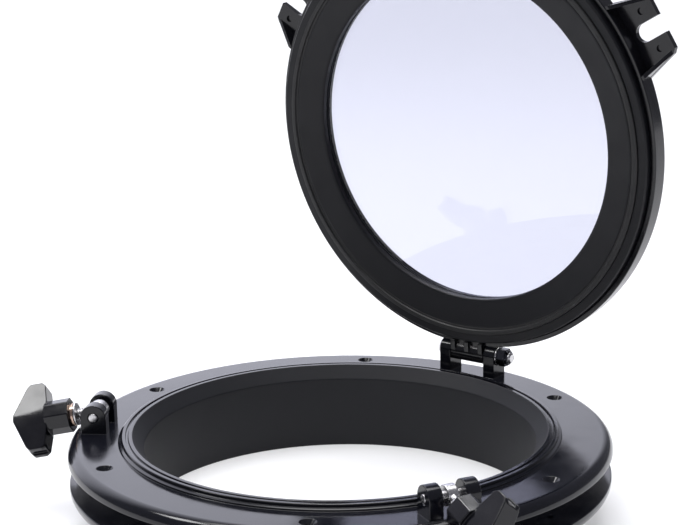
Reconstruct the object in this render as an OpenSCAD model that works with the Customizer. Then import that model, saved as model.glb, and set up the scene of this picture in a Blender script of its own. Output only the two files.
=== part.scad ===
// Round opening portlight for a boat: a flanged frame with a spigot through the wall, a trim
// ring behind the panel, and a glazed lid on a hinge, held shut by two swing-bolt dogs.
// Origin: centre of the frame's seating face. +Z points into the cabin, +Y to the hinge.
// Millimetres.

/* [Frame] */
// Clear diameter of the opening at its throat
opening_d = 215; // [160:1:280]
// Width of the frame, from the throat to the flange's outer edge
frame_w = 41.5; // [34:0.5:60]
// Thickness of the flange
flange_t = 7; // [5:0.5:10]
// Radius of the flange's rounded edge
edge_r = 6; // [1:0.5:8]
// Reach of the spigot behind the seating face
spigot_len = 39.8; // [32:0.1:60]
// Wall of the spigot at the throat
spigot_wall = 6; // [4.5:0.5:8]
// How far the bore widens towards the spigot's end, on the radius
spigot_draft = 3.2; // [0:0.1:4]
// Depth of the throat below the flange's face
throat_drop = 3.9; // [2:0.1:5]
// How far the mouth flares out from the throat, on the radius
mouth_flare = 6.25; // [4:0.05:8]

/* [Seal lip] */
// Height of the seal lip above the flange's face
lip_h = 3.4; // [2:0.1:5]
// Width of the seal lip
lip_w = 5.85; // [4.8:0.05:8]
// Width of the groove that runs round the top of the lip
lip_groove_w = 1.4; // [0.8:0.1:2]
// Depth of that groove
lip_groove_depth = 1; // [0.4:0.1:1.5]
// Width of the low step round the outside of the lip
step_w = 1.6; // [0.5:0.1:3]
// Height of that step
step_h = 1; // [0.5:0.1:1.5]

/* [Wall screws] */
// Number of countersunk holes in the flange
screw_count = 6; // [6:6:6]
// Distance from a hole's centre to the flange's edge
screw_inset = 14.5; // [12:0.5:18]
// Diameter of a hole
screw_d = 4.5; // [3.5:0.1:5.5]
// Diameter of a countersink at the face
countersink_d = 9; // [7:0.1:10]
// Depth of a countersink
countersink_depth = 2.4; // [1.5:0.1:3]

/* [Trim ring] */
// Thickness of wall panel that fits between the flange and the trim ring
panel_t = 13.5; // [8:0.5:16]
// Thickness of the trim ring
trim_t = 7; // [6.5:0.5:10]
// How much smaller than the flange the trim ring is, on the radius
trim_inset = 0.5; // [0:0.1:4]
// Radius of the trim ring's rounded edge
trim_edge_r = 5; // [1:0.5:6]
// Clearance of the trim ring on the spigot, on the radius
trim_clear = 0.25; // [0.1:0.05:0.5]
// Length of the collar behind the trim ring
collar_len = 7; // [3:0.5:10]
// Wall of the collar
collar_wall = 4; // [2:0.5:6]
// Diameter of the screws' pilot holes in the trim ring
pilot_d = 3.4; // [2.5:0.1:4]
// Depth of the pilot holes
pilot_depth = 5.5; // [3:0.5:6]

/* [Hinge] */
// Height of the hinge axis above the flange's face
hinge_h = 12.7; // [11:0.1:16]
// Gap between the lid's rim and the hinge axis
hinge_off = 5.4; // [5:0.1:8]
// Radius of the hinge ears and of the knuckle
hinge_ear_r = 6.3; // [5:0.1:7]
// Thickness of one hinge ear
hinge_ear_t = 7.5; // [5:0.5:10]
// Gap between the hinge ears
hinge_gap = 23.2; // [18:0.1:30]
// Side clearance of the knuckle between the ears
knuckle_clear = 0.3; // [0.2:0.1:1]
// Thickness of the knuckle's ribs
knuckle_rib_t = 3.4; // [2:0.1:5]
// Diameter of the hinge bolt
hinge_bolt_d = 6; // [4:0.5:7]
// Angle by which the lid stands open
lid_open = 85.7; // [0:0.1:110]

/* [Lid] */
// How far the lid's rim reaches outside the seal lip, on the radius
rim_over = 8; // [7.5:0.1:12]
// Height of the rim's lower edge above the flange's face
rim_lift = 8.8; // [8.2:0.1:12]
// Depth of the rim
rim_h = 12; // [11:0.1:16]
// Wall of the rim
rim_wall = 3; // [2:0.1:4]
// Radius of the rim's rounded edge
rim_edge_r = 2.5; // [0.5:0.5:3]
// Thickness of the lid's cabin-side plate
plate_t = 3; // [2.5:0.1:3.5]
// Width of the ring that holds the glass
ring_band = 26.2; // [20:0.1:40]
// Thickness of the glass
glass_t = 5; // [3:0.5:6]
// How far the glass reaches under the ring
glass_hold = 8; // [5:0.5:10]
// Gap between the ring that holds the glass and the rim, on the radius
ring_gap = 0.5; // [0.2:0.1:1]
// Height of the ring's lowest face above the flange's face
ring_lift = 4.8; // [4.2:0.1:6]
// How far the ring's inner edge stands back from its lowest face
ring_rise = 3.1; // [1:0.1:4]
// Thickness of the rubber between the glass and the plate
glazing_t = 1.1; // [0.8:0.1:2]
// Width of the lid's rubber seal
seal_w = 4.2; // [3:0.1:5]
// Depth of the seal's groove in the ring
seal_depth = 2; // [1:0.1:3]
// Gap between the seal and the lip when the lid is down
seal_gap = 0.3; // [0.2:0.1:1]

/* [Fork lugs] */
// Thickness of a fork lug
lug_t = 3.4; // [3:0.1:4]
// How far a lug's tip lies beyond the bolt
lug_reach = 12.4; // [9:0.1:16]
// Width of a lug at its tip
lug_tip_w = 35; // [28:0.5:40]
// Width of a lug at the rim
lug_root_w = 46; // [40:0.5:56]
// Clearance of the bolt in the fork's slot, on the radius
slot_clear = 2; // [0.5:0.1:3]
// Thickness of the webs along a lug's sides
web_t = 2.2; // [1.5:0.1:3]
// Size of the cut corners at a lug's tip
lug_corner = 2.5; // [1:0.5:4]

/* [Dogs] */
// Height of a dog's pivot above the flange's face
dog_h = 9.2; // [8:0.1:9.6]
// Radius of a dog's ears
dog_ear_r = 7.1; // [6:0.1:7.4]
// Thickness of one dog ear
dog_ear_t = 7.8; // [4:0.1:10]
// Gap between a dog's ears
dog_gap = 12.8; // [10:0.1:18]
// Gap between a dog's ears and the lid's rim
dog_off = 0.4; // [0.3:0.1:2]
// Diameter of the pivot pins
pivot_d = 5; // [4:0.5:6]
// Diameter of the swing bolts
bolt_d = 6; // [5:0.5:10]
// Length of a swing bolt, from its pivot to its end
bolt_len = 38; // [32:1:40]
// Width of a swing bolt's eye along the pivot
eye_w = 6; // [5:0.5:10]
// Radius of a swing bolt's eye
eye_r = 5.5; // [5:0.1:7]
// Angle by which an open dog points down
dog_droop = 11; // [0:0.5:11]

/* [Knobs] */
// Gap between a knob's washer and the lug it screws down on
clamp_gap = 0.5; // [0.3:0.1:1]
// Thickness of the thrust washer
washer_t = 1.2; // [0.8:0.1:2]
// Gap between the washer and the insert
washer_gap = 0.1; // [0.05:0.05:0.3]
// Radius of the washer and of the insert's neck
neck_r = 6.4; // [5.5:0.1:6.5]
// Length of the insert's neck
neck_len = 2.1; // [1:0.1:4]
// Width across the flats of the hub
hub_flats = 18; // [16:0.5:20]
// Length of the hub, from its end to the wing
hub_len = 13; // [8:0.5:16]
// Span of the wing
wing_span = 41; // [32:1:60]
// Width of the wing across its middle
wing_w = 14; // [10:0.5:18]
// Width of the wing at its ends
wing_end_w = 11; // [8:0.5:16]
// Thickness of the wing at its tips
wing_tip = 12; // [8:0.5:16]
// How far the wing's middle stands beyond its tips
wing_sweep = 7.5; // [2:0.5:10]
// Width of the channel across each end of the wing
channel_w = 5; // [3:0.5:7]
// Depth of that channel
channel_depth = 1.5; // [1:0.5:3]
// How far each knob is turned from upright on its bolt, dog a and dog b
knob_turn = [45, -40]; // [-180:1:180]

/* [Fits] */
// Clearance of pins and bolts where something turns on them, on the radius
run_clear = 0.06; // [0.02:0.01:0.1]
// Clearance of pieces that are held still, on the radius
fit_clear = 0.03; // [0.01:0.01:0.05]

/* [Hidden] */
$fn = 96;
black = "#202123";
rubber = "#161617";
steel = "#c9cbce";
glass = "#dfe8f2";

// frame radii and heights
throat_r = opening_d / 2;
throat_z = flange_t - throat_drop;
flange_r = throat_r + frame_w;
spigot_r = throat_r + spigot_wall;
face_edge_r = min(edge_r, flange_t - 0.5);
lip_in_r = throat_r + mouth_flare;
lip_out_r = lip_in_r + lip_w;
lip_top = flange_t + lip_h;
lip_chamfer = 0.6;
screw_r = flange_r - screw_inset;
screw_turn = 360 / screw_count;
trim_r = flange_r - trim_inset;
trim_z = -panel_t;
trim_in_r = spigot_r + trim_clear;
back_edge_r = min(trim_edge_r, trim_t - 0.5);

// lid, as it lies shut
rim_r = lip_out_r + rim_over;
rim_z = flange_t + rim_lift;
lid_top = rim_z + rim_h;
plate_z = lid_top - plate_t;
ring_r = rim_r - rim_wall - ring_gap;
view_r = ring_r - ring_band;
glass_r = view_r + glass_hold;
glass_z = plate_z - glazing_t - glass_t;
ring_z = flange_t + ring_lift;
ring_edge = 0.8;
seal_mid_r = (lip_in_r + lip_out_r) / 2;
seal_z = lip_top + seal_gap;

// hinge and dogs
hinge_r = rim_r + hinge_off;
hinge_z = flange_t + hinge_h;
hinge_out = hinge_gap / 2 + hinge_ear_t;
knuckle_w = hinge_gap - 2 * knuckle_clear;
relief_r = hinge_ear_r + 0.5;
relief_w = hinge_ear_t + 2 * knuckle_clear;
dog_r = rim_r + dog_off + dog_ear_r;
dog_z = flange_t + dog_h;
dog_out = dog_gap / 2 + dog_ear_t;
DOG_ANGLES = [210, 330];
lug_z = lid_top - lug_t;
lug_r = dog_r + lug_reach;
slot_r = bolt_d / 2 + slot_clear;
lug_start = rim_r + 1.5;

// hinge hardware
bolt_head_r = 5.5;
bolt_head_h = 3.2;
hinge_washer_r = 5.8;
hinge_washer_t = 1;
nut_flats = 10;
nut_t = 5;
nut_collar_r = 4.3;
nut_collar_t = 1.5;
bolt_tip = 1.5;

// knob, measured along the swing bolt from its pivot
washer_x = lid_top - dog_z + clamp_gap;
neck_x = washer_x + washer_t + washer_gap;
hub_x = neck_x + neck_len;
wing_x = hub_x + hub_len;
insert_r = bolt_d / 2 + 1.8;
insert_len = hub_len - 1;
knob_bore_end = bolt_len + 3;
wing_corner = 2;
hub_r = hub_flats / 2 / cos(22.5);

// The steepest angle, up to dog_droop, at which the hub still clears the flange's edge
function hub_corner(a) = [dog_r + hub_x * cos(a) - hub_r * sin(a),
                          dog_z - hub_x * sin(a) - hub_r * cos(a)];
function over_flange(p) = p[0] < flange_r - face_edge_r ? p[1] > flange_t + 0.1
    : norm(p - [flange_r - face_edge_r, flange_t - face_edge_r]) > face_edge_r + 0.05;
function droop_from(a) = a < -20 || over_flange(hub_corner(a)) ? a : droop_from(a - 0.5);
droop = droop_from(dog_droop);

module ring_cut(r_in, r_out, z, h) {
    translate([r_in, z]) square([r_out - r_in, h]);
}

module quarter_disc(r) {
    intersection() {
        circle(r);
        square(r);
    }
}

// A flat ring's section with one rounded outer edge, at the top
module rounded_ring(r_in, r_out, h, r) {
    ring_cut(r_in, r_out - r, 0, h);
    ring_cut(r_in, r_out, 0, h - r);
    translate([r_out - r, h - r]) quarter_disc(r);
}

// Two ears standing on z = 0, bored along X
module ear_pair(r, t, gap, axis_h, bore_d) {
    color(black) difference() {
        for (side = [-1, 1]) translate([side * (gap + t) / 2 - t / 2, 0, 0]) {
            translate([0, -r, 0]) cube([t, 2 * r, axis_h]);
            translate([0, 0, axis_h]) rotate([0, 90, 0]) cylinder(r = r, h = t);
        }
        translate([0, 0, axis_h]) cross_bore(bore_d / 2 + fit_clear, gap / 2 + t + 1);
    }
}

module cross_bore(r, reach) {
    rotate([0, 90, 0]) cylinder(r = r, h = 2 * reach, center = true);
}

// A dog's own frame: X along the bolt, Y along the pivot
module at_dog(i) {
    rotate([0, 0, DOG_ANGLES[i]]) translate([dog_r, 0, dog_z]) rotate([0, droop, 0]) children();
}

module open_lid() {
    translate([0, hinge_r, hinge_z]) rotate([-lid_open, 0, 0]) translate([0, -hinge_r, -hinge_z])
        children();
}

// The mouth of the bore and the seal lip round it, from the seating face up
module lip_section() {
    groove_mid = (lip_in_r + lip_out_r) / 2;
    polygon([
        [spigot_r, throat_z], [spigot_r, 0], [lip_out_r + step_w, 0],
        [lip_out_r + step_w, flange_t + step_h], [lip_out_r, flange_t + step_h + lip_chamfer],
        [lip_out_r, lip_top - lip_chamfer], [lip_out_r - lip_chamfer, lip_top],
        [groove_mid + lip_groove_w / 2, lip_top],
        [groove_mid + lip_groove_w / 2, lip_top - lip_groove_depth],
        [groove_mid - lip_groove_w / 2, lip_top - lip_groove_depth],
        [groove_mid - lip_groove_w / 2, lip_top],
        [lip_in_r + lip_chamfer, lip_top], [lip_in_r, lip_top - lip_chamfer],
        [throat_r, throat_z]
    ]);
}

module screw_places() {
    for (i = [0 : screw_count - 1]) rotate([0, 0, i * screw_turn]) translate([screw_r, 0, 0])
        children();
}

module main_frame() {
    color(black) difference() {
        rotate_extrude() {
            rounded_ring(spigot_r, flange_r, flange_t, face_edge_r);
            lip_section();
        }
        screw_places() {
            translate([0, 0, -1]) cylinder(d = screw_d, h = flange_t + 2);
            translate([0, 0, flange_t - countersink_depth])
                cylinder(d1 = screw_d, d2 = countersink_d, h = countersink_depth);
            translate([0, 0, flange_t - 0.001]) cylinder(d = countersink_d, h = 1);
        }
    }
}

module spigot() {
    color(black) rotate_extrude() polygon([
        [throat_r + spigot_draft, -spigot_len], [spigot_r, -spigot_len], [spigot_r, throat_z],
        [throat_r, throat_z]
    ]);
}

module hinge_ears() {
    translate([0, hinge_r, flange_t])
        ear_pair(hinge_ear_r, hinge_ear_t, hinge_gap, hinge_h, hinge_bolt_d);
}

module dog_ears(i) {
    rotate([0, 0, DOG_ANGLES[i]]) translate([dog_r, 0, flange_t]) rotate([0, 0, 90])
        ear_pair(dog_ear_r, dog_ear_t, dog_gap, dog_h, pivot_d);
}

module trim_ring() {
    color(black) difference() {
        translate([0, 0, trim_z]) mirror([0, 0, 1]) rotate_extrude()
            rounded_ring(trim_in_r, trim_r, trim_t, back_edge_r);
        screw_places() translate([0, 0, trim_z - pilot_depth])
            cylinder(d = pilot_d, h = pilot_depth + 1);
    }
}

module trim_collar() {
    color(black) translate([0, 0, trim_z - trim_t - collar_len]) rotate_extrude()
        ring_cut(trim_in_r, trim_in_r + collar_wall, 0, collar_len);
}

module hinge_bolt() {
    reach = hinge_out + hinge_washer_t + nut_t + nut_collar_t + bolt_tip;
    dome_r = (bolt_head_r * bolt_head_r + bolt_head_h * bolt_head_h) / (2 * bolt_head_h);
    color(steel) translate([0, hinge_r, hinge_z]) rotate([0, 90, 0]) {
        translate([0, 0, -hinge_out]) cylinder(d = hinge_bolt_d, h = hinge_out + reach);
        translate([0, 0, -hinge_out]) intersection() {
            translate([0, 0, dome_r - bolt_head_h]) sphere(r = dome_r);
            translate([0, 0, -bolt_head_h]) cylinder(r = bolt_head_r + 1, h = bolt_head_h);
        }
    }
}

module hinge_washer() {
    color(steel) translate([hinge_out, hinge_r, hinge_z]) rotate([0, 90, 0]) difference() {
        cylinder(r = hinge_washer_r, h = hinge_washer_t);
        translate([0, 0, -1]) cylinder(r = hinge_bolt_d / 2 + run_clear, h = hinge_washer_t + 2);
    }
}

module hinge_nut() {
    color(steel) translate([hinge_out + hinge_washer_t, hinge_r, hinge_z]) rotate([0, 90, 0])
        difference() {
            union() {
                cylinder(d = nut_flats / cos(30), h = nut_t, $fn = 6);
                cylinder(r = nut_collar_r, h = nut_t + nut_collar_t);
            }
            translate([0, 0, -1])
                cylinder(r = hinge_bolt_d / 2 + fit_clear, h = nut_t + nut_collar_t + 2);
        }
}

module pivot_pin(i) {
    proud = 0.3;
    color(steel) at_dog(i) rotate([90, 0, 0])
        cylinder(d = pivot_d, h = 2 * (dog_out + proud), center = true);
}

// One fork lug's outline: X outward along the radius, Y across
module lug_outline() {
    root_x = rim_r - rim_wall;
    difference() {
        polygon([
            [root_x, -lug_root_w / 2], [lug_r - lug_corner, -lug_tip_w / 2],
            [lug_r, -lug_tip_w / 2 + lug_corner], [lug_r, lug_tip_w / 2 - lug_corner],
            [lug_r - lug_corner, lug_tip_w / 2], [root_x, lug_root_w / 2]
        ]);
        translate([dog_r, 0]) circle(slot_r);
        translate([dog_r, -slot_r]) square([lug_reach + 1, 2 * slot_r]);
    }
}

// A web under one side of a lug, deep at the rim and shallow at the tip
module lug_web(side) {
    dx = lug_r - lug_corner - (rim_r - rim_wall);
    dy = (lug_root_w - lug_tip_w) / 2;
    run = norm([dx, dy]);
    translate([rim_r - rim_wall, side * lug_root_w / 2, 0]) rotate([0, 0, -side * atan2(dy, dx)])
        translate([0, side > 0 ? 0 : web_t, 0]) rotate([90, 0, 0]) linear_extrude(web_t)
            polygon([[rim_wall / 2, rim_z], [rim_wall, rim_z], [run, lug_z], [run, lug_z + 1],
                     [rim_wall / 2, lug_z + 1]]);
}

module lug_shape() {
    mark_r = 2;
    mark_depth = 1.2;
    mark_y = (slot_r + lug_tip_w / 2) / 2;
    difference() {
        union() {
            translate([0, 0, lug_z]) linear_extrude(lug_t) lug_outline();
            for (side = [-1, 1]) lug_web(side);
        }
        for (side = [-1, 1]) translate([dog_r + lug_reach / 3, side * mark_y, lug_z - 1])
            cylinder(r = mark_r, h = mark_depth + 1);
    }
}

// The part of a lug inside or outside the plane where it leaves the rim
module lug_part(i, outside) {
    rotate([0, 0, DOG_ANGLES[i]]) intersection() {
        lug_shape();
        translate([outside ? lug_start : 0, -lug_root_w, 0])
            cube([outside ? lug_r : lug_start, 2 * lug_root_w, lid_top + 1]);
    }
}

module fork_lug(i) {
    color(black) open_lid() lug_part(i, true);
}

module lid_rim_section() {
    ring_cut(rim_r - rim_wall, rim_r, rim_z, rim_h - rim_edge_r);
    ring_cut(view_r + 1, rim_r - rim_edge_r, plate_z, plate_t);
    translate([rim_r - rim_edge_r, lid_top - rim_edge_r]) quarter_disc(rim_edge_r);
}

module knuckle() {
    rib_in = rim_wall + hinge_off - 0.4;
    front = hinge_ear_r + 0.3;
    translate([0, hinge_r, hinge_z]) {
        rotate([0, 90, 0]) cylinder(r = hinge_ear_r, h = knuckle_w, center = true);
        for (k = [-1, 0, 1]) translate([k * (knuckle_w - knuckle_rib_t) / 2, 0, 0])
            rotate([90, 0, 90]) linear_extrude(knuckle_rib_t, center = true)
                polygon([[0, -hinge_ear_r], [-2, -front], [-rib_in, -front], [-rib_in, 0], [0, 0]]);
        translate([-knuckle_w / 2, -rib_in, rim_z - hinge_z])
            cube([knuckle_w, rib_in, hinge_z - rim_z]);
    }
}

module lid_frame() {
    color(black) open_lid() difference() {
        union() {
            rotate_extrude() lid_rim_section();
            for (i = [0, 1]) lug_part(i, false);
            knuckle();
        }
        translate([0, hinge_r, hinge_z]) {
            cross_bore(hinge_bolt_d / 2 + run_clear, knuckle_w);
            for (side = [-1, 1]) translate([side * (knuckle_w / 2 + relief_w / 2), 0, 0]) {
                rotate([0, 90, 0]) cylinder(r = relief_r, h = relief_w, center = true);
                translate([-relief_w / 2, -relief_r, rim_z - hinge_z - 1])
                    cube([relief_w, relief_r, hinge_z - rim_z + 1]);
            }
        }
    }
}

module lid_ring() {
    inner_top = glass_z - fit_clear;
    outer_top = plate_z - fit_clear;
    seat_r = glass_r + fit_clear;
    groove_in = seal_mid_r - seal_w / 2 - fit_clear;
    groove_out = seal_mid_r + seal_w / 2 + fit_clear;
    soft_edge = 1;
    color(rubber) open_lid() rotate_extrude() polygon([
        [view_r, ring_z + ring_rise + soft_edge], [view_r + soft_edge, ring_z + ring_rise],
        [groove_in - 1, ring_z], [groove_in, ring_z], [groove_in, ring_z + seal_depth],
        [groove_out, ring_z + seal_depth], [groove_out, ring_z],
        [ring_r - ring_edge, ring_z], [ring_r, ring_z + ring_edge],
        [ring_r, outer_top], [seat_r, outer_top], [seat_r, inner_top], [view_r, inner_top]
    ]);
}

module glass_pane() {
    color(glass, 0.4) open_lid() translate([0, 0, glass_z]) cylinder(r = glass_r, h = glass_t);
}

module glazing_seal() {
    color(rubber) open_lid() rotate_extrude()
        ring_cut(view_r + 1.5, glass_r, plate_z - glazing_t + fit_clear, glazing_t - 2 * fit_clear);
}

module lid_seal() {
    top = ring_z + seal_depth - fit_clear;
    bead = 0.8;
    color(rubber) open_lid() rotate_extrude() polygon([
        [seal_mid_r - seal_w / 2, top], [seal_mid_r - seal_w / 2, seal_z + bead],
        [seal_mid_r - seal_w / 2 + bead, seal_z], [seal_mid_r + seal_w / 2 - bead, seal_z],
        [seal_mid_r + seal_w / 2, seal_z + bead], [seal_mid_r + seal_w / 2, top]
    ]);
}

module eye_bolt(i) {
    color(steel) at_dog(i) difference() {
        union() {
            rotate([90, 0, 0]) cylinder(r = eye_r, h = eye_w, center = true);
            rotate([0, 90, 0]) cylinder(d = bolt_d, h = bolt_len);
        }
        rotate([90, 0, 0]) cylinder(r = pivot_d / 2 + run_clear, h = bolt_d + 2, center = true);
    }
}

module thrust_washer(i) {
    color(steel) at_dog(i) translate([washer_x, 0, 0]) rotate([0, 90, 0]) difference() {
        cylinder(r = neck_r, h = washer_t);
        translate([0, 0, -1]) cylinder(r = bolt_d / 2 + run_clear, h = washer_t + 2);
    }
}

module knob_insert(i) {
    color(steel) at_dog(i) translate([neck_x, 0, 0]) rotate([0, 90, 0]) difference() {
        union() {
            cylinder(r = neck_r, h = neck_len);
            cylinder(r = insert_r, h = neck_len + insert_len);
        }
        translate([0, 0, -1])
            cylinder(r = bolt_d / 2 + run_clear, h = neck_len + insert_len + 2);
    }
}

// The wing seen from the side: X along the bolt, Y along the span
module wing_outline() {
    half = wing_span / 2;
    tip_x = wing_x + wing_tip;
    for (side = [0, 1]) mirror([0, side]) polygon([
        [wing_x, -0.01], [wing_x, hub_flats / 2], [wing_x + 1, half - wing_corner],
        [wing_x + 1 + wing_corner, half], [tip_x - wing_corner, half],
        [tip_x, half - wing_corner], [tip_x + wing_sweep, wing_corner],
        [tip_x + wing_sweep, -0.01]
    ]);
}

// The wing seen along the bolt: X along the span, Y across it
module wing_section() {
    half = wing_span / 2;
    difference() {
        polygon([
            [half, wing_end_w / 2], [0, wing_w / 2], [-half, wing_end_w / 2],
            [-half, -wing_end_w / 2], [0, -wing_w / 2], [half, -wing_end_w / 2]
        ]);
        for (side = [-1, 1]) translate([side * half, 0])
            square([2 * channel_depth, channel_w], center = true);
    }
}

module knob(i) {
    color(black) at_dog(i) rotate([knob_turn[i], 0, 0]) difference() {
        union() {
            translate([hub_x, 0, 0]) rotate([0, 90, 0]) rotate([0, 0, 22.5])
                cylinder(r = hub_r, h = hub_len + 1, $fn = 8);
            intersection() {
                rotate([90, 0, 0]) linear_extrude(wing_w + 2, center = true) wing_outline();
                rotate([0, 90, 0]) linear_extrude(wing_x + 2 * wing_tip + wing_sweep) wing_section();
            }
        }
        rotate([0, 90, 0]) {
            translate([0, 0, hub_x - 1]) cylinder(r = insert_r + fit_clear, h = insert_len + 1);
            translate([0, 0, hub_x]) cylinder(r = bolt_d / 2 + 0.3, h = knob_bore_end - hub_x);
        }
    }
}

main_frame();
spigot();
hinge_ears();
dog_ears(0);  // dog_ears_a
dog_ears(1);  // dog_ears_b
trim_ring();
trim_collar();
hinge_bolt();
hinge_washer();
hinge_nut();
pivot_pin(0);  // pivot_pin_a
pivot_pin(1);  // pivot_pin_b
lid_frame();
fork_lug(0);  // fork_lug_a
fork_lug(1);  // fork_lug_b
lid_ring();
glass_pane();
glazing_seal();
lid_seal();
eye_bolt(0);  // eye_bolt_a
eye_bolt(1);  // eye_bolt_b
thrust_washer(0);  // thrust_washer_a
thrust_washer(1);  // thrust_washer_b
knob_insert(0);  // knob_insert_a
knob_insert(1);  // knob_insert_b
knob(0);  // knob_a
knob(1);  // knob_b
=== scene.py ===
from math import cos, pi, radians, sin, tan

import bpy
from mathutils import Matrix, Vector


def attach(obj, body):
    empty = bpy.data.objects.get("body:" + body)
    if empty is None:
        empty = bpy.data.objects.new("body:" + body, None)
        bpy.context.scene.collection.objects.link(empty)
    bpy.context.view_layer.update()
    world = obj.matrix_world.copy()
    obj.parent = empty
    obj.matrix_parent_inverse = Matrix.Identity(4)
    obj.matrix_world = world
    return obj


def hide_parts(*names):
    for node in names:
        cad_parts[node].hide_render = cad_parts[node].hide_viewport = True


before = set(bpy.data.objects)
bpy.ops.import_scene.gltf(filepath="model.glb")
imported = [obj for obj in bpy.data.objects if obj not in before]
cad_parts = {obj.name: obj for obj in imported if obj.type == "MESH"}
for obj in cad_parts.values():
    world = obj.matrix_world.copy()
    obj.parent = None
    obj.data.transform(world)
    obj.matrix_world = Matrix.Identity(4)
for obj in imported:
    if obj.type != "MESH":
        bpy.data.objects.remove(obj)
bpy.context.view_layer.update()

mm = 0.001
print("frame loaded:", len(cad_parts), "nodes")


# selecting, finishing and placing
def deselectAll():
    if bpy.context.mode != "OBJECT":
        bpy.ops.object.mode_set(mode="OBJECT")
    bpy.ops.object.select_all(action="DESELECT")


def pick(obj, *others):
    deselectAll()
    for each in (obj, *others):
        each.select_set(True)
    bpy.context.view_layer.objects.active = obj
    return obj


def editAll(obj):
    pick(obj)
    bpy.ops.object.mode_set(mode="EDIT")
    bpy.ops.mesh.select_mode(type="VERT")  # the last piece may have left edges or faces as the choice
    bpy.ops.mesh.select_all(action="SELECT")


def named(name):
    obj = bpy.context.object
    obj.name = obj.data.name = name
    return obj


def settle(obj, matrix=None):
    # the place goes into the mesh, and the origin back to the frame's
    if matrix is not None:
        obj.matrix_world = matrix @ obj.matrix_world
    pick(obj)
    bpy.ops.object.transform_apply(location=True, rotation=True, scale=True)
    return obj


def applyModifier(obj, kind, **settings):
    pick(obj)
    modifier = obj.modifiers.new(kind.title(), kind)
    for key, value in settings.items():
        setattr(modifier, key, value)
    bpy.ops.object.modifier_apply(modifier=modifier.name)
    return obj


def combine(obj, *tools, how="DIFFERENCE"):
    for tool in tools:
        applyModifier(obj, "BOOLEAN", object=tool, operation=how, solver="EXACT")
        bpy.data.objects.remove(tool)
    return obj


def soften(obj, width, segments=3, angle=30):
    return applyModifier(
        obj, "BEVEL", width=width * mm, segments=segments, limit_method="ANGLE",
        angle_limit=radians(angle), use_clamp_overlap=True, miter_outer="MITER_ARC")


def shade(obj, angle=40):
    pick(obj)
    bpy.ops.object.shade_smooth_by_angle(angle=radians(angle))
    return applyModifier(obj, "WEIGHTED_NORMAL", keep_sharp=True, weight=60)


def selectBy(obj, test, kind="FACE"):
    # obj is in edit mode; selects the faces, edges or vertices whose centre passes the test
    bpy.ops.mesh.select_mode(type=kind)
    bpy.ops.mesh.select_all(action="DESELECT")
    bpy.ops.object.mode_set(mode="OBJECT")
    mesh = obj.data
    if kind == "FACE":
        for face in mesh.polygons:
            face.select = bool(test(face.center / mm, face.normal))
    elif kind == "EDGE":
        for edge in mesh.edges:
            a, b = (mesh.vertices[v].co / mm for v in edge.vertices)
            edge.select = bool(test((a + b) / 2, (b - a).normalized()))
    else:
        for vertex in mesh.vertices:
            vertex.select = bool(test(vertex.co / mm, vertex.normal))
    bpy.ops.object.mode_set(mode="EDIT")


def softCorners(corners):
    # (across, along, radius) for each corner of a closed outline, with its arcs drawn in
    points, count = [], len(corners)
    for i, (x, y, radius) in enumerate(corners):
        here = Vector((x, y))
        if radius == 0:
            points.append(here)
            continue
        back = (Vector(corners[i - 1][:2]) - here).normalized()
        on = (Vector(corners[(i + 1) % count][:2]) - here).normalized()
        half = back.angle(on) / 2
        centre = here + (back + on).normalized() * radius / sin(half)
        start = here + back * radius / tan(half) - centre
        end = here + on * radius / tan(half) - centre
        turn = start.angle_signed(end)
        steps = max(2, min(10, round(abs(turn) / radians(15)))) if radius > 1 else 3
        for k in range(steps + 1):
            points.append(centre + Matrix.Rotation(-turn * k / steps, 2) @ start)
    return points


def turned(name, corners, steps=256, solid=False):
    # a circle extruded ring by ring along an outline; solid ones are capped, the others closed up
    points = softCorners(corners)
    if solid:
        points = [p for p in points if p.x > 1e-6]
    bpy.ops.mesh.primitive_circle_add(
        vertices=steps, radius=points[0].x * mm, location=(0, 0, points[0].y * mm),
        fill_type="NGON" if solid else "NOTHING")
    obj = named(name)
    editAll(obj)
    if solid:
        bpy.ops.mesh.select_mode(type="EDGE")
    for before, after in zip(points, points[1:]):
        bpy.ops.mesh.extrude_edges_move(
            TRANSFORM_OT_translate={"value": (0, 0, (after.y - before.y) * mm)})
        size = after.x / before.x
        bpy.ops.transform.resize(value=(size, size, 1), center_override=(0, 0, 0))
    if solid:
        bpy.ops.mesh.edge_face_add()
    else:
        bpy.ops.mesh.select_all(action="DESELECT")
        bpy.ops.mesh.select_mode(type="EDGE")
        bpy.ops.mesh.select_non_manifold()
        bpy.ops.mesh.bridge_edge_loops()
    bpy.ops.mesh.select_all(action="SELECT")
    bpy.ops.mesh.normals_make_consistent(inside=False)
    bpy.ops.object.mode_set(mode="OBJECT")
    return settle(obj)


def block(name, low, high):
    low, high = Vector(low), Vector(high)
    bpy.ops.mesh.primitive_cube_add(size=1, location=(low + high) / 2 * mm)
    obj = named(name)
    obj.scale = (high - low) * mm
    return settle(obj)


def rod(name, radius, start, end, sides=64):
    # a plain cylinder between two points, mostly for cutting holes
    start, end = Vector(start) * mm, Vector(end) * mm
    bpy.ops.mesh.primitive_cylinder_add(
        vertices=sides, radius=radius * mm, depth=(end - start).length, location=(start + end) / 2)
    obj = named(name)
    obj.rotation_mode = "QUATERNION"
    obj.rotation_quaternion = (end - start).to_track_quat("Z", "X")
    return settle(obj)


# places, in millimetres, as the construction gives them
places = {
    "hingeY": 133.0, "hingeZ": 19.7, "lidOpen": 85.7,
    "dogR": 135.1, "dogZ": 16.2, "dogDroop": 11.0, "dogAngles": (210, 330),
    "flangeTop": 7.0,
}


def hingeTurn(angle):
    hinge = Matrix.Translation(Vector((0, places["hingeY"], places["hingeZ"])) * mm)
    return hinge @ Matrix.Rotation(radians(angle), 4, "X") @ hinge.inverted()


def aroundAxis(angle):
    return Matrix.Rotation(radians(angle), 4, "Z")


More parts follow.
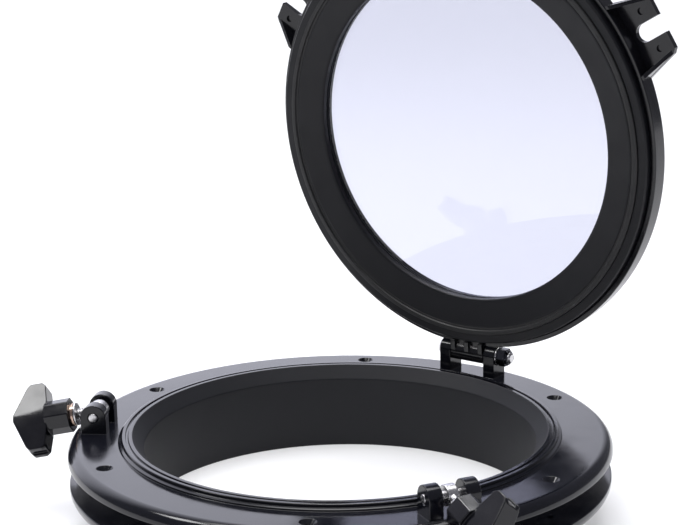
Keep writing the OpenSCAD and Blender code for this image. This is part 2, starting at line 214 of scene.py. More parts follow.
def dogPlace(which):
    # X along the swing bolt, Y along its pivot
    out = Matrix.Translation(Vector((places["dogR"], 0, places["dogZ"])) * mm)
    droop = Matrix.Rotation(radians(places["dogDroop"]), 4, "Y")
    return aroundAxis(places["dogAngles"][which]) @ out @ droop


alongX = Matrix.Rotation(pi / 2, 4, "Y")   # a turned piece's axis laid along +X
alongY = Matrix.Rotation(-pi / 2, 4, "X")  # and along +Y
lidTurn = hingeTurn(-places["lidOpen"])


# materials
def linear(hexColour):
    parts = [int(hexColour[i:i + 2], 16) / 255 for i in (1, 3, 5)]
    return (*(p / 12.92 if p <= 0.04045 else ((p + 0.055) / 1.055) ** 2.4 for p in parts), 1)


def addNode(tree, kind, links=(), **settings):
    # a setting is an attribute or an input's name; a link is (from node, its output, this input)
    node = tree.nodes.new(kind)
    for key, value in settings.items():
        if hasattr(node, key):
            setattr(node, key, value)
        else:
            node.inputs[key.replace("_", " ")].default_value = value
    for source, output, target in links:
        tree.links.new(source.outputs[output], node.inputs[target])
    return node


def newMaterial(name, **settings):
    material = bpy.data.materials.new(name)
    material.use_nodes = True
    tree = material.node_tree
    surface = tree.nodes["Principled BSDF"]
    for key, value in settings.items():
        surface.inputs[key.replace("_", " ")].default_value = value
    where = addNode(tree, "ShaderNodeTexCoord")
    return material, tree, surface, where


def mouldedPlastic(name, dark, light, rough, grain, grainDepth, **settings):
    # black nylon out of a polished mould: a satin gloss that wanders a little, and a faint grain
    material, tree, surface, where = newMaterial(name, **settings)
    cloud = addNode(tree, "ShaderNodeTexNoise", [(where, "Object", "Vector")], Scale=1 / (40 * mm), Detail=3.0)
    tone = addNode(tree, "ShaderNodeMix", [(cloud, "Fac", 0)], data_type="RGBA")
    tone.inputs[6].default_value = linear(dark)
    tone.inputs[7].default_value = linear(light)
    tree.links.new(tone.outputs[2], surface.inputs["Base Color"])
    marks = addNode(tree, "ShaderNodeTexNoise", [(where, "Object", "Vector")], Scale=1 / (12 * mm), Detail=5.0)
    gloss = addNode(tree, "ShaderNodeMapRange", [(marks, "Fac", "Value")],
                    To_Min=rough[0], To_Max=rough[1], From_Min=0.3, From_Max=0.7)
    tree.links.new(gloss.outputs["Result"], surface.inputs["Roughness"])
    fine = addNode(tree, "ShaderNodeTexNoise", [(where, "Object", "Vector")],
                   Scale=1 / (grain * mm), Detail=2.0)
    bump = addNode(tree, "ShaderNodeBump", [(fine, "Fac", "Height")], Strength=0.5, Distance=grainDepth * mm)
    tree.links.new(bump.outputs["Normal"], surface.inputs["Normal"])
    return material


def mattBore(material, radius, rough):
    # the bore and the slope above it come off a matt part of the mould; the rest is polished
    tree = material.node_tree
    surface, where = tree.nodes["Principled BSDF"], tree.nodes["Texture Coordinate"]
    gloss = surface.inputs["Roughness"].links[0].from_node
    flat = addNode(tree, "ShaderNodeVectorMath", [(where, "Object", 0)], operation="MULTIPLY")
    flat.inputs[1].default_value = (1, 1, 0)
    far = addNode(tree, "ShaderNodeVectorMath", [(flat, "Vector", 0)], operation="LENGTH")
    polished = addNode(tree, "ShaderNodeMapRange", [(far, "Value", "Value")],
                       From_Min=(radius - 0.5) * mm, From_Max=(radius + 0.5) * mm)
    either = addNode(tree, "ShaderNodeMix", [(polished, "Result", 0), (gloss, "Result", 3)], data_type="FLOAT")
    either.inputs[2].default_value = rough
    tree.links.new(either.outputs[0], surface.inputs["Roughness"])
    return material


framePlastic = mattBore(
    mouldedPlastic("polished black nylon", "#0d0e14", "#13141b", (0.1, 0.19), 0.5, 0.006, IOR=1.43), 113.9, 0.6)
lidPlastic = mouldedPlastic(
    "polished black nylon lid", "#0b0b0f", "#101015", (0.14, 0.24), 0.5, 0.006, IOR=1.46)
ringPlastic = mouldedPlastic("matt black nylon", "#0b0b10", "#101116", (0.4, 0.5), 0.6, 0.02, IOR=1.36)
knobPlastic = mouldedPlastic("glossy black ABS", "#0c0c11", "#121217", (0.1, 0.2), 0.4, 0.004, IOR=1.43)
sealRubber = mouldedPlastic("black EPDM rubber", "#0f0f11", "#151517", (0.5, 0.62), 0.8, 0.02, IOR=1.5)


def turnedSteel(name, colour, rough, spacing):
    # turned steel: bright, or dark where its colour is darkened as painted dark reflection, with a gloss that
    # wanders as turning leaves it
    material, tree, surface, where = newMaterial(name, Metallic=1.0, Base_Color=linear(colour))
    streak = addNode(tree, "ShaderNodeTexNoise", [(where, "Object", "Vector")],
                     Scale=1 / (spacing * mm), Detail=4.0)
    gloss = addNode(tree, "ShaderNodeMapRange", [(streak, "Fac", "Value")], To_Min=rough[0], To_Max=rough[1])
    tree.links.new(gloss.outputs["Result"], surface.inputs["Roughness"])
    bump = addNode(tree, "ShaderNodeBump", [(streak, "Fac", "Height")], Strength=0.4, Distance=0.004 * mm)
    tree.links.new(bump.outputs["Normal"], surface.inputs["Normal"])
    return material


stainless = turnedSteel("polished stainless steel", "#c6c5c6", (0.18, 0.34), 0.9)
# painted dark reflection: the hinge nut's steel colour is darkened to stand in for the dark surroundings a bright
# nut mirrors
darkReflectionSteel = turnedSteel("steel darkened for painted reflection", "#3a3b41", (0.14, 0.26), 0.8)
warmInsert = turnedSteel("bronze-plated steel", "#b79f90", (0.16, 0.3), 0.7)


def clearGlass(name):
    # toughened float glass, faintly blue, as clear as window glass
    material, tree, surface, where = newMaterial(
        name, Base_Color=linear("#cfd1de"), Transmission_Weight=1.0, IOR=1.45)
    haze = addNode(tree, "ShaderNodeTexNoise", [(where, "Object", "Vector")], Scale=1 / 0.03, Detail=2.0)
    gloss = addNode(tree, "ShaderNodeMapRange", [(haze, "Fac", "Value")], To_Min=0.0, To_Max=0.01)
    tree.links.new(gloss.outputs["Result"], surface.inputs["Roughness"])
    return material


glassMaterial = clearGlass("toughened glass")
print("materials made")


def finish(obj, material, body, slotName, *nodes):
    obj.data.materials.clear()
    obj.data.materials.append(material)
    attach(obj, body)
    if nodes:
        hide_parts(*nodes)
    return obj


# frame moulding
frameSizes = {
    # radius, height, rounding: from the spigot's end, round the outside, and back down the bore
    "outline": [
        (110.7, -39.8, 0.9), (113.5, -39.8, 0.6), (113.5, 0, 0.3), (149, 0, 0.5), (149, 7, 5.98),
        (121.2, 7, 0.4), (121.2, 8, 0.25), (119.6, 8.6, 0.3), (119.6, 10.4, 0.6),
        (117.4, 10.4, 0.3), (117.4, 9.4, 0.3), (115.95, 9.4, 0.3), (115.95, 10.4, 0.3),
        (113.75, 10.4, 0.6), (107.5, 3.1, 1.2)],
    "screwR": 134.5, "screwRadius": 2.25, "countersinkRadius": 4.5, "countersinkDepth": 2.4,
    "hingeEar": {"radius": 6.3, "width": 7.5, "gap": 23.2, "bore": 3.03},
    "dogEar": {"radius": 7.1, "width": 7.8, "gap": 12.8, "bore": 2.55},
    "earEdge": 0.9,
}


def makeEar(name, size, axisHeight):
    # stands on z = 0, its bore along X; the foot flares into the flange
    r, w = size["radius"], size["width"]
    foot = 0.35
    ear = block(name, (-w / 2, -r, foot), (w / 2, r, axisHeight + r))
    editAll(ear)
    selectBy(ear, lambda c, n: n.z < -0.9)
    bpy.ops.mesh.delete(type="ONLY_FACE")
    selectBy(ear, lambda c, d: c.z > axisHeight + r - 0.01 and abs(d.x) > 0.9, "EDGE")
    bpy.ops.mesh.bevel(offset=r * 0.998 * mm, segments=14, profile=0.5)
    bpy.ops.object.mode_set(mode="OBJECT")
    soften(ear, frameSizes["earEdge"], 4, 50)
    editAll(ear)
    selectBy(ear, lambda c, d: c.z < foot + 0.01 and abs(d.z) < 0.1, "EDGE")
    for drop, grow in ((0.2, 0.06), (0.15, 0.12), (0.6, 0.2)):
        bpy.ops.mesh.extrude_edges_move(TRANSFORM_OT_translate={"value": (0, 0, -drop * mm)})
        bpy.ops.transform.resize(value=(1 + 2 * grow / w, 1 + grow / r, 1), center_override=(0, 0, 0))
    bpy.ops.mesh.edge_face_add()
    bpy.ops.mesh.select_all(action="SELECT")
    bpy.ops.mesh.normals_make_consistent(inside=False)
    bpy.ops.object.mode_set(mode="OBJECT")
    return ear


def makeFrame():
    size = frameSizes
    body = turned("frameMoulding", size["outline"])
    top, deep = places["flangeTop"], size["countersinkDepth"]
    cutter = turned("screwCut", [
        (0.01, -2, 0), (size["screwRadius"], -2, 0), (size["screwRadius"], top - deep, 0),
        (size["countersinkRadius"] - 0.15, top - 0.15, 0), (size["countersinkRadius"] + 0.2, top + 0.1, 0),
        (size["countersinkRadius"] + 0.2, top + 1, 0), (0.01, top + 1, 0)], 64, solid=True)
    for i in range(6):
        each = cutter.copy()
        each.data = cutter.data.copy()
        bpy.context.collection.objects.link(each)
        turn = aroundAxis(60 * i) @ Matrix.Translation((size["screwR"] * mm, 0, 0))
        combine(body, settle(each, turn))
    bpy.data.objects.remove(cutter)
    hingeH = places["hingeZ"] - top
    dogH = places["dogZ"] - top
    spots = [(size["hingeEar"], hingeH, Matrix.Translation(Vector((0, places["hingeY"], top)) * mm))]
    for angle in places["dogAngles"]:
        spots.append((size["dogEar"], dogH, aroundAxis(angle)
                      @ Matrix.Translation(Vector((places["dogR"], 0, top)) * mm)
                      @ aroundAxis(90)))
    for ear, height, spot in spots:
        for side in (-1, 1):
            off = Matrix.Translation((side * (ear["gap"] + ear["width"]) / 2 * mm, 0, 0))
            one = settle(makeEar("ear", ear, height), spot @ off)
            combine(body, one, how="UNION")
        reach = ear["gap"] / 2 + ear["width"]
        bore = turned("bore", [
            (0.01, -reach - 1, 0), (ear["bore"] + 0.6, -reach - 1, 0), (ear["bore"] + 0.6, -reach, 0),
            (ear["bore"], -reach + 0.5, 0), (ear["bore"], reach - 0.5, 0), (ear["bore"] + 0.6, reach, 0),
            (ear["bore"] + 0.6, reach + 1, 0), (0.01, reach + 1, 0)], 48, solid=True)
        combine(body, settle(bore, spot @ Matrix.Translation((0, 0, height * mm)) @ alongX))
    shade(body, 35)
    return finish(body, framePlastic, "frame", "frame_plastic",
                  "main_frame", "spigot", "hinge_ears", "dog_ears_a", "dog_ears_b")


makeFrame()
print("frame moulding made")


# trim ring
trimSizes = {
    "outline": [
        (113.75, -13.5, 0.4), (148.5, -13.5, 0.6), (148.5, -20.5, 4.98), (117.75, -20.5, 0.6),
        (117.75, -27.5, 0.9), (113.75, -27.5, 0.5)],
    "pilotRadius": 1.7, "pilotDepth": 5.5,
}


def makeTrimRing():
    ring = turned("trimRing", trimSizes["outline"])
    for i in range(6):
        turn = aroundAxis(60 * i)
        top = turn @ Vector((frameSizes["screwR"], 0, -12))
        bottom = turn @ Vector((frameSizes["screwR"], 0, -13.5 - trimSizes["pilotDepth"]))
        combine(ring, rod("pilot", trimSizes["pilotRadius"], bottom, top, 32))
    shade(ring, 35)
    return finish(ring, framePlastic, "frame", "frame_plastic", "trim_ring", "trim_collar")


makeTrimRing()
print("trim ring made")


# lid moulding, modelled shut and then turned open
lidSizes = {
    "outline": [
        (98.9, 27.8, 0.6), (127.6, 27.8, 2.48), (127.6, 15.8, 0.5), (124.6, 15.8, 0.5),
        (124.6, 24.8, 0.6), (98.9, 24.8, 0.5)],
    "top": 27.8, "rimR": 127.6, "rimIn": 124.6, "rimLow": 15.8,
    "lug": {"thick": 3.4, "tip": 147.5, "tipWidth": 35.0, "rootWidth": 46.0, "slot": 5.0,
            "corner": 2.5, "web": 2.2, "markRadius": 2.0, "markDepth": 1.2, "markX": 139.23,
            "markY": 11.25, "edge": 0.5},
    "knuckle": {"radius": 6.3, "width": 22.6, "rib": 3.4, "reach": 8.0, "front": 6.6,
                "relief": 6.8, "reliefWidth": 8.1, "bore": 3.06},
}


def outlinePlate(name, points, low, high):
    # a flat plate from an outline: vertices extruded one by one from a corner, filled, then raised
    bpy.ops.mesh.primitive_plane_add(size=1 * mm, location=(0, 0, 0))
    plate = named(name)
    editAll(plate)
    bpy.ops.mesh.merge(type="CENTER")
    bpy.ops.transform.translate(value=(points[0][0] * mm, points[0][1] * mm, low * mm))
    for before, after in zip(points, points[1:]):
        step = ((after[0] - before[0]) * mm, (after[1] - before[1]) * mm, 0)
        bpy.ops.mesh.extrude_vertices_move(TRANSFORM_OT_translate={"value": step})
    bpy.ops.mesh.select_all(action="DESELECT")
    bpy.ops.object.mode_set(mode="OBJECT")
    plate.data.vertices[0].select = plate.data.vertices[-1].select = True
    bpy.ops.object.mode_set(mode="EDIT")
    bpy.ops.mesh.edge_face_add()
    bpy.ops.mesh.select_all(action="SELECT")
    bpy.ops.mesh.edge_face_add()
    bpy.ops.mesh.extrude_region_move(TRANSFORM_OT_translate={"value": (0, 0, (high - low) * mm)})
    bpy.ops.mesh.select_all(action="SELECT")
    bpy.ops.mesh.normals_make_consistent(inside=False)
    bpy.ops.object.mode_set(mode="OBJECT")
    return plate


def makeLug():
    # X runs out along the radius
    lug, top, rootX = lidSizes["lug"], lidSizes["top"], lidSizes["rimIn"] + 0.3
    low = top - lug["thick"]
    halfTip, halfRoot = lug["tipWidth"] / 2, lug["rootWidth"] / 2
    corner, dogR = lug["corner"], places["dogR"]
    slotEnd = [(dogR + lug["slot"] * cos(a), lug["slot"] * sin(a))
               for a in (radians(270 - 15 * k) for k in range(13))]
    outline = [
        (rootX, -halfRoot), (lug["tip"] - corner, -halfTip), (lug["tip"], -halfTip + corner),
        (lug["tip"], -lug["slot"])] + slotEnd + [
        (lug["tip"], lug["slot"]), (lug["tip"], halfTip - corner), (lug["tip"] - corner, halfTip),
        (rootX, halfRoot)]
    plate = outlinePlate("forkLug", outline, low, top)
    run = lug["tip"] - corner - rootX
    for side in (-1, 1):
        slope = (halfRoot - halfTip) / run
        inRoot, inTip = halfRoot - slope - 0.2, halfTip - 0.2  # just inside the plate's own side
        web = outlinePlate("web", [
            (rootX + 1, side * inRoot), (lug["tip"] - corner, side * inTip),
            (lug["tip"] - corner, side * (inTip - lug["web"])),
            (rootX + 1, side * (inRoot - lug["web"]))][::side], lidSizes["rimLow"], low + 1)
        editAll(web)
        bpy.ops.mesh.bisect(
            plane_co=Vector((lidSizes["rimR"], 0, lidSizes["rimLow"])) * mm,
            plane_no=Vector((low - lidSizes["rimLow"], 0, lidSizes["rimR"] - (lug["tip"] - corner))).normalized(),
            use_fill=True, clear_inner=False, clear_outer=True)
        bpy.ops.object.mode_set(mode="OBJECT")
        combine(plate, web, how="UNION")
    soften(plate, lug["edge"], 3, 25)
    for side in (-1, 1):
        mark = Vector((lug["markX"], side * lug["markY"], low - 1))
        combine(plate, rod("mark", lug["markRadius"], mark, mark + Vector((0, 0, 1 + lug["markDepth"])), 32))
    return plate


def makeKnuckle():
    size, hingeY, hingeZ = lidSizes["knuckle"], places["hingeY"], places["hingeZ"]
    half = size["width"] / 2
    barrel = turned("knuckle", [
        (0.01, -half, 0), (size["radius"], -half, 0.4), (size["radius"], half, 0.4), (0.01, half, 0)],
        64, solid=True)
    settle(barrel, Matrix.Translation(Vector((0, hingeY, hingeZ)) * mm) @ alongX)
    # the pieces stop a little short of each other's faces, so that they join cleanly
    seat = block("seat", (-half + 0.15, hingeY - size["reach"], lidSizes["rimLow"] + 0.05),
                 (half - 0.15, hingeY, hingeZ))
    soften(seat, 0.4, 3)
    ribs = []
    for k in (-1, 0, 1):
        middle = k * (size["width"] - size["rib"] - 0.16) / 2
        rib = block("rib", (middle - size["rib"] / 2, hingeY - size["reach"] + 0.1, hingeZ - size["front"]),
                    (middle + size["rib"] / 2, hingeY - 1.2, hingeZ - 0.4))
        soften(rib, 0.5, 3)
        ribs.append(rib)
    return combine(barrel, seat, *ribs, how="UNION")


def makeLid():
    lid = turned("lidMoulding", lidSizes["outline"])
    for angle in places["dogAngles"]:
        combine(lid, settle(makeLug(), aroundAxis(angle)), how="UNION")
    combine(lid, makeKnuckle(), how="UNION")
    size, hingeY, hingeZ = lidSizes["knuckle"], places["hingeY"], places["hingeZ"]
    half, relief = size["width"] / 2, size["relief"]
    for side in (-1, 1):
        near, far = side * half, side * (half + size["reliefWidth"])
        combine(lid, rod("relief", relief, (near, hingeY, hingeZ), (far, hingeY, hingeZ), 64))
        combine(lid, block("reliefFoot", (min(near, far), hingeY - relief, lidSizes["rimLow"] - 1),
                           (max(near, far), hingeY, hingeZ)))
    combine(lid, rod("bore", size["bore"], (-half - 1, hingeY, hingeZ), (half + 1, hingeY, hingeZ), 48))
    settle(lid, lidTurn)
    shade(lid, 35)
    return finish(lid, lidPlastic, "lid", "frame_plastic", "lid_frame", "fork_lug_a", "fork_lug_b")


makeLid()
print("lid moulding made")


# ring, glass and seals
glazingSizes = {
    "ring": [
        (97.9, 18.67, 0.3), (97.9, 15.3, 1.0), (99.4, 14.75, 1.2), (113.4, 11.8, 1.5), (114.5, 11.8, 0.2),
        (114.55, 13.8, 0.2), (118.8, 13.8, 0.2), (118.85, 11.8, 0.3), (123.4, 11.8, 0.3),
        (124.1, 12.6, 0.4), (124.1, 24.77, 0.4), (105.93, 24.77, 0.3), (105.93, 18.67, 0.2)],
    "seal": [
        (114.6, 13.77, 0.2), (114.6, 11.85, 0.2), (115.8, 11.75, 0.15), (116.1, 10.7, 0.5),
        (118.65, 10.7, 0.6), (118.75, 13.77, 0.2)],
    "cushion": [(99.4, 23.76, 0.3), (105.9, 23.76, 0.2), (105.9, 24.74, 0.2), (99.4, 24.74, 0.3)],
    "glass": [(0.01, 18.7, 0), (105.9, 18.7, 0.7), (105.9, 23.7, 0.7), (0.01, 23.7, 0)],
}


def makeGlazing():
    rows = (
        ("glassRing", "ring", False, ringPlastic, "ring_plastic", "lid_ring"),
        ("lidSeal", "seal", False, sealRubber, "rubber", "lid_seal"),
        ("glazingSeal", "cushion", False, sealRubber, "rubber", "glazing_seal"),
        ("glassPane", "glass", True, glassMaterial, "glass", "glass_pane"))
    for name, outline, solid, material, slotName, node in rows:
        piece = settle(turned(name, glazingSizes[outline], solid=solid), lidTurn)
        shade(piece, 35)
        finish(piece, material, "lid", slotName, node)


makeGlazing()
print("ring, glass and seals made")


# hinge bolt, washer and nut
hingeSizes = {
    "out": 19.1, "boltRadius": 3.0, "headRadius": 5.5, "headHeight": 3.2, "washerRadius": 5.8,
    "washerThick": 1.0, "nutFlats": 10.0, "nutThick": 5.0, "collarRadius": 4.3, "collarThick": 1.5,
    "tip": 1.5, "pitch": 1.0, "socketFlats": 4.0,
}


def makeThread(name, radius, pitch, length, steps=28):
    # one pitch of the thread's outline, wound up the axis, trimmed square and capped
    depth = 0.6 * pitch
    outline = [(radius - depth, 0), (radius - depth, 0.12 * pitch), (radius, 0.44 * pitch),
               (radius, 0.56 * pitch), (radius - depth, 0.88 * pitch), (radius - depth, pitch)]
    bpy.ops.mesh.primitive_plane_add(size=1 * mm)
    thread = named(name)
    editAll(thread)
    bpy.ops.mesh.merge(type="CENTER")
    bpy.ops.transform.translate(value=(outline[0][0] * mm, 0, -pitch * mm))
    for before, after in zip(outline, outline[1:]):
        step = ((after[0] - before[0]) * mm, 0, (after[1] - before[1]) * mm)
        bpy.ops.mesh.extrude_vertices_move(TRANSFORM_OT_translate={"value": step})
    bpy.ops.object.mode_set(mode="OBJECT")
    applyModifier(thread, "SCREW", axis="Z", steps=steps, render_steps=steps, screw_offset=pitch * mm,
                  iterations=int(length / pitch) + 3, use_merge_vertices=True)
    editAll(thread)
    bpy.ops.mesh.remove_doubles(threshold=0.002 * mm)
    bpy.ops.mesh.normals_make_consistent(inside=False)
    for height, up in ((0, -1), (length, 1)):
        bpy.ops.mesh.select_all(action="SELECT")
        bpy.ops.mesh.bisect(plane_co=(0, 0, height * mm), plane_no=(0, 0, up), use_fill=True, clear_outer=True)
    bpy.ops.mesh.select_all(action="SELECT")
    bpy.ops.mesh.normals_make_consistent(inside=False)
    bpy.ops.object.mode_set(mode="OBJECT")
    return thread


def makeHingeHardware():
    size = hingeSizes
    out, axisSpot = size["out"], Matrix.Translation(
        Vector((0, places["hingeY"], places["hingeZ"])) * mm) @ alongX
    end = out + size["washerThick"] + size["nutThick"] + size["collarThick"] + size["tip"]
    head, r = size["headRadius"], size["boltRadius"]
    dome = [(head * sin(radians(a)), -out - size["headHeight"] * cos(radians(a)), 0)
            for a in (8, 20, 32, 44, 56, 68, 78)]
    bolt = turned("hingeBolt", [
        (0.01, -out - size["headHeight"], 0), *dome, (head, -out - 0.5, 0), (head - 0.3, -out, 0), (r, -out, 0),
        (r, end - 7, 0), (r - 0.62, end - 6.8, 0), (r - 0.62, end - 0.1, 0), (0.01, end - 0.1, 0)],
        64, solid=True)
    thread = makeThread("boltThread", r, size["pitch"], 6.9)
    settle(thread, Matrix.Translation((0, 0, (end - 6.95) * mm)))
    tip = turned("tip", [(0.01, -2, 0), (r + 0.4, -2, 0), (r + 0.4, 6.1, 0), (r - 0.7, 6.9, 0), (0.01, 6.9, 0)],
                 48, solid=True)
    settle(tip, Matrix.Translation((0, 0, (end - 6.9) * mm)))
    combine(thread, tip, how="INTERSECT")
    combine(bolt, thread, how="UNION")
    bpy.ops.mesh.primitive_cylinder_add(vertices=6, radius=size["socketFlats"] / 2 / cos(pi / 6) * mm,
                                        depth=3.6 * mm, location=(0, 0, -(out + size["headHeight"]) * mm))
    combine(bolt, settle(named("socket")))
    settle(bolt, axisSpot)
    finish(shade(bolt, 32), stainless, "frame", "steel", "hinge_bolt")

    w = size["washerRadius"]
    washer = turned("hingeWasher", [
        (r + 0.06, out + 0.01, 0.1), (w, out + 0.01, 0.25),
        (w, out + 0.99, 0.25), (r + 0.06, out + 0.99, 0.1)], 64)
    finish(shade(settle(washer, axisSpot), 32), stainless, "frame", "steel", "hinge_washer")

    start = out + size["washerThick"]
    flats, thick = size["nutFlats"], size["nutThick"]
    bpy.ops.mesh.primitive_cylinder_add(vertices=6, radius=flats / 2 / cos(pi / 6) * mm, depth=thick * mm,
                                        location=(0, 0, (start + thick / 2) * mm))
    nut = settle(named("hingeNut"))
    across = flats / 2 / cos(pi / 6)
    chamfer = turned("chamfer", [
        (0.01, start - 0.01, 0), (flats / 2 - 0.1, start - 0.01, 0), (across + 0.1, start + 0.55, 0),
        (across + 0.1, start + thick - 0.55, 0), (flats / 2 - 0.1, start + thick + 0.01, 0),
        (0.01, start + thick + 0.01, 0)], 64, solid=True)
    combine(nut, chamfer, how="INTERSECT")
    c, top = size["collarRadius"], start + thick + size["collarThick"]
    collar = turned("collar", [
        (0.01, start + 1, 0), (c, start + 1, 0), (c, top, 0.7), (0.01, top, 0)], 64, solid=True)
    combine(nut, collar, how="UNION")
    combine(nut, rod("bore", r + 0.03, (0, 0, start - 1), (0, 0, top + 1), 48))
    soften(nut, 0.15, 2, 25)
    # the nut takes the darkened steel, a painted dark reflection
    finish(shade(settle(nut, axisSpot), 32), darkReflectionSteel, "frame", "steel", "hinge_nut")


makeHingeHardware()
print("hinge hardware made")


# dogs: pivot pin, swing bolt, washer, insert and knob
dogSizes = {
    "pinRadius": 2.5, "pinHalf": 14.5, "eyeRadius": 5.5, "eyeHalf": 3.0, "boltRadius": 3.0,
    "boltLength": 38.0, "pitch": 1.25, "threadFrom": 8.0,
    "washer": (12.1, 13.3), "neckRadius": 6.4, "neck": (13.4, 15.5), "insertRadius": 4.8, "insertEnd": 27.5,
    "knobEdge": 0.7,
}


def makeDogPiece(which, obj, material, body, slotName, node):
    settle(obj, dogPlace(which))
    return finish(shade(obj, 32), material, body, slotName, node)


def makePin():
    r, half = dogSizes["pinRadius"], dogSizes["pinHalf"]
    pin = turned("pin", [(0.01, -half, 0), (r, -half, 0.45), (r, half, 0.45), (0.01, half, 0)], 48, solid=True)
    return settle(pin, alongY)


def makeEyeBolt():
    size = dogSizes
    eyeR, half, r = size["eyeRadius"], size["eyeHalf"], size["boltRadius"]
    eye = turned("eye", [
        (0.01, -half, 0), (eyeR, -half, 0.6), (eyeR, half, 0.6), (0.01, half, 0)], 64, solid=True)
    settle(eye, alongY)
    start, end = size["threadFrom"], size["boltLength"]
    shank = turned("shank", [
        (0.01, 0, 0), (r - 0.12, 0, 0), (r - 0.12, start - 0.6, 0), (r - 0.74, start + 0.3, 0),
        (r - 0.74, end - 0.2, 0), (0.01, end - 0.2, 0)], 48, solid=True)
    settle(shank, alongX)
    combine(eye, shank, how="UNION")
    thread = makeThread("thread", r, size["pitch"], end - start)
    settle(thread, alongX @ Matrix.Translation((0, 0, start * mm)))
    combine(eye, thread, how="UNION")
    return combine(eye, rod("bore", size["pinRadius"] + 0.06, (0, -half - 1, 0), (0, half + 1, 0), 48))


def makeWasher():
    low, high = dogSizes["washer"]
    outer, inner = dogSizes["neckRadius"], dogSizes["boltRadius"] + 0.06
    washer = turned("washer", [
        (inner, low, 0.15), (outer, low, 0.3), (outer, high, 0.3), (inner, high, 0.15)], 64)
    return settle(washer, alongX)


def makeInsert():
    size = dogSizes
    low, high = size["neck"]
    neck, bodyR, inner = size["neckRadius"], size["insertRadius"], size["boltRadius"] + 0.06
    insert = turned("insert", [
        (inner, low, 0.4), (neck, low, 0.4), (neck, high, 0.3), (bodyR, high + 0.01, 0),
        (bodyR, size["insertEnd"], 0.3), (inner, size["insertEnd"], 0.2)], 64)
    return settle(insert, alongX)


def softKnob(which):
    # the construction's own knob, merged and cleaned, with moulded edges
    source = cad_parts["knob_" + which]
    knob = source.copy()
    knob.data = source.data.copy()
    knob.parent = None
    bpy.context.collection.objects.link(knob)
    knob.name = knob.data.name = "wingKnob_" + which
    editAll(knob)
    bpy.ops.mesh.remove_doubles(threshold=0.001 * mm)
    bpy.ops.mesh.dissolve_limited(angle_limit=radians(1))
    bpy.ops.object.mode_set(mode="OBJECT")
    for key in list(knob.keys()):
        del knob[key]
    soften(knob, dogSizes["knobEdge"], 4, 28)
    return shade(knob, 32)


def makeDogs():
    makers = (
        ("pivotPin", makePin, stainless, "frame", "steel", "pivot_pin"),
        ("swingBolt", makeEyeBolt, stainless, "dog", "steel", "eye_bolt"),
        ("thrustWasher", makeWasher, stainless, "washer", "steel", "thrust_washer"),
        ("knobInsert", makeInsert, warmInsert, "knob", "steel", "knob_insert"))
    for name, make, material, body, slotName, node in makers:
        first = make()
        for which, letter in enumerate("ab"):
            piece = first if which else first.copy()
            if not which:
                piece.data = first.data.copy()
                bpy.context.collection.objects.link(piece)
            piece.name = piece.data.name = name + "_" + letter
            rides = body if body == "frame" else body + "_" + letter
            makeDogPiece(which, piece, material, rides, slotName, node + "_" + letter)
    for letter in "ab":
        finish(softKnob(letter), knobPlastic, "knob_" + letter, "knob_plastic", "knob_" + letter)


makeDogs()
print("dogs made")


# floor, light and camera
studio = {
    "floorZ": -39.8, "floorSize": 8.0,
    "dim": 0.25, "bright": 2.05, "brightFrom": 0.68, "brightTo": 0.98, "brightSide": (-0.8, 0.5, 0.3),
    "sunPower": 2.45, "sunSpread": 50, "sunAim": (0.08, -0.06, -1),
    # name, place, what it points at, size in metres, power
    "softboxes": (("softboxBack", (-0.55, 0.75, 1.3), (0, 0, 0), 0.3, 7),
                  ("softboxLeft", (-0.68, -0.46, 1.03), (-0.15, -0.09, 0), 0.3, 4)),
    "lens": 102.56, "cameraAt": (0.6263, -0.8312, 0.3658),
    "elevation": 19.09, "yaw": 0.37, "pitch": 4.90, "roll": -1.02, "turn": 37.0,
}


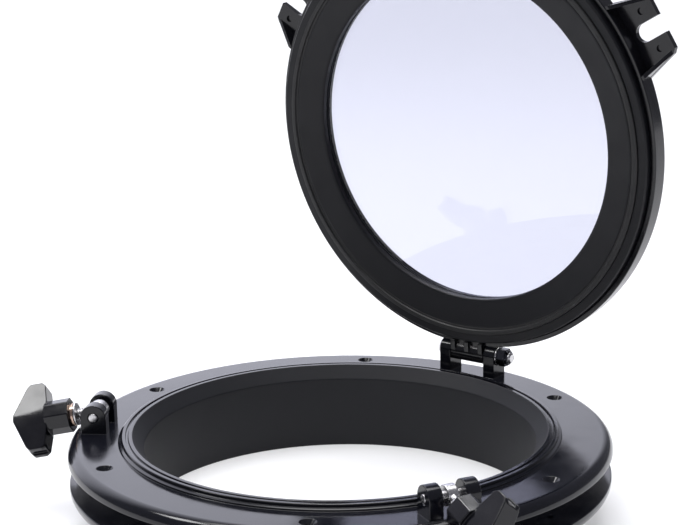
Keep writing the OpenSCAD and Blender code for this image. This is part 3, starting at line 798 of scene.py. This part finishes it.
def makeStudio():
    bpy.ops.mesh.primitive_plane_add(size=studio["floorSize"], location=(0, 0, studio["floorZ"] * mm))
    floor = named("floor")
    settle(floor)
    material, tree, surface, where = newMaterial("pale floor", Base_Color=linear("#ececed"), Roughness=0.7,
                                                 Emission_Color=linear("#ffffff"), Emission_Strength=0.08)
    floor.data.materials.append(material)

    # a dim room with one wide bright wall behind the window, which the flange mirrors
    world = bpy.data.worlds.new("studio")
    world.use_nodes = True
    bpy.context.scene.world = world
    tree = world.node_tree
    back = tree.nodes["Background"]
    back.inputs["Color"].default_value = linear("#f0f1ff")
    aim = Vector(studio["brightSide"]).normalized()
    where = addNode(tree, "ShaderNodeTexCoord")
    towards = addNode(tree, "ShaderNodeVectorMath", [(where, "Generated", 0)], operation="DOT_PRODUCT")
    towards.inputs[1].default_value = aim
    glow = addNode(tree, "ShaderNodeMapRange", [(towards, "Value", "Value")], interpolation_type="SMOOTHSTEP",
                   From_Min=studio["brightFrom"], From_Max=studio["brightTo"],
                   To_Min=studio["dim"], To_Max=studio["bright"])
    tree.links.new(glow.outputs["Result"], back.inputs["Strength"])

    bpy.ops.object.light_add(type="SUN")
    sun = bpy.context.object
    sun.name = "ceiling"
    sun.data.energy = studio["sunPower"]
    sun.data.angle = radians(studio["sunSpread"])
    sun.rotation_euler = Vector(studio["sunAim"]).to_track_quat("-Z", "Y").to_euler()
    for name, spot, aim, size, power in studio["softboxes"]:
        bpy.ops.object.light_add(type="AREA", location=spot)
        light = bpy.context.object
        light.name = name
        light.data.size = size
        light.data.energy = power
        light.data.use_shadow = False
        light.rotation_euler = (Vector(aim) - Vector(spot)).to_track_quat("-Z", "Y").to_euler()


def makeCamera():
    el, yaw, pitch, roll = (radians(studio[key]) for key in ("elevation", "yaw", "pitch", "roll"))
    forward, right, up = Vector((0, cos(el), -sin(el))), Vector((1, 0, 0)), Vector((0, sin(el), cos(el)))
    forward, right = forward * cos(yaw) + right * sin(yaw), right * cos(yaw) - forward * sin(yaw)
    forward, up = forward * cos(pitch) + up * sin(pitch), up * cos(pitch) - forward * sin(pitch)
    right, up = right * cos(roll) + up * sin(roll), up * cos(roll) - right * sin(roll)
    turn = Matrix.Rotation(radians(studio["turn"]), 3, "Z")
    axes = Matrix((turn @ right, turn @ up, turn @ -forward)).transposed().to_4x4()
    bpy.ops.object.camera_add()
    camera = bpy.context.object
    camera.matrix_world = Matrix.Translation(studio["cameraAt"]) @ axes
    camera.data.sensor_width = 36
    camera.data.lens = studio["lens"]
    camera.data.clip_start = 0.05
    bpy.context.scene.camera = camera


makeStudio()
makeCamera()
bpy.context.scene.view_settings.view_transform = "Standard"
print("studio made")
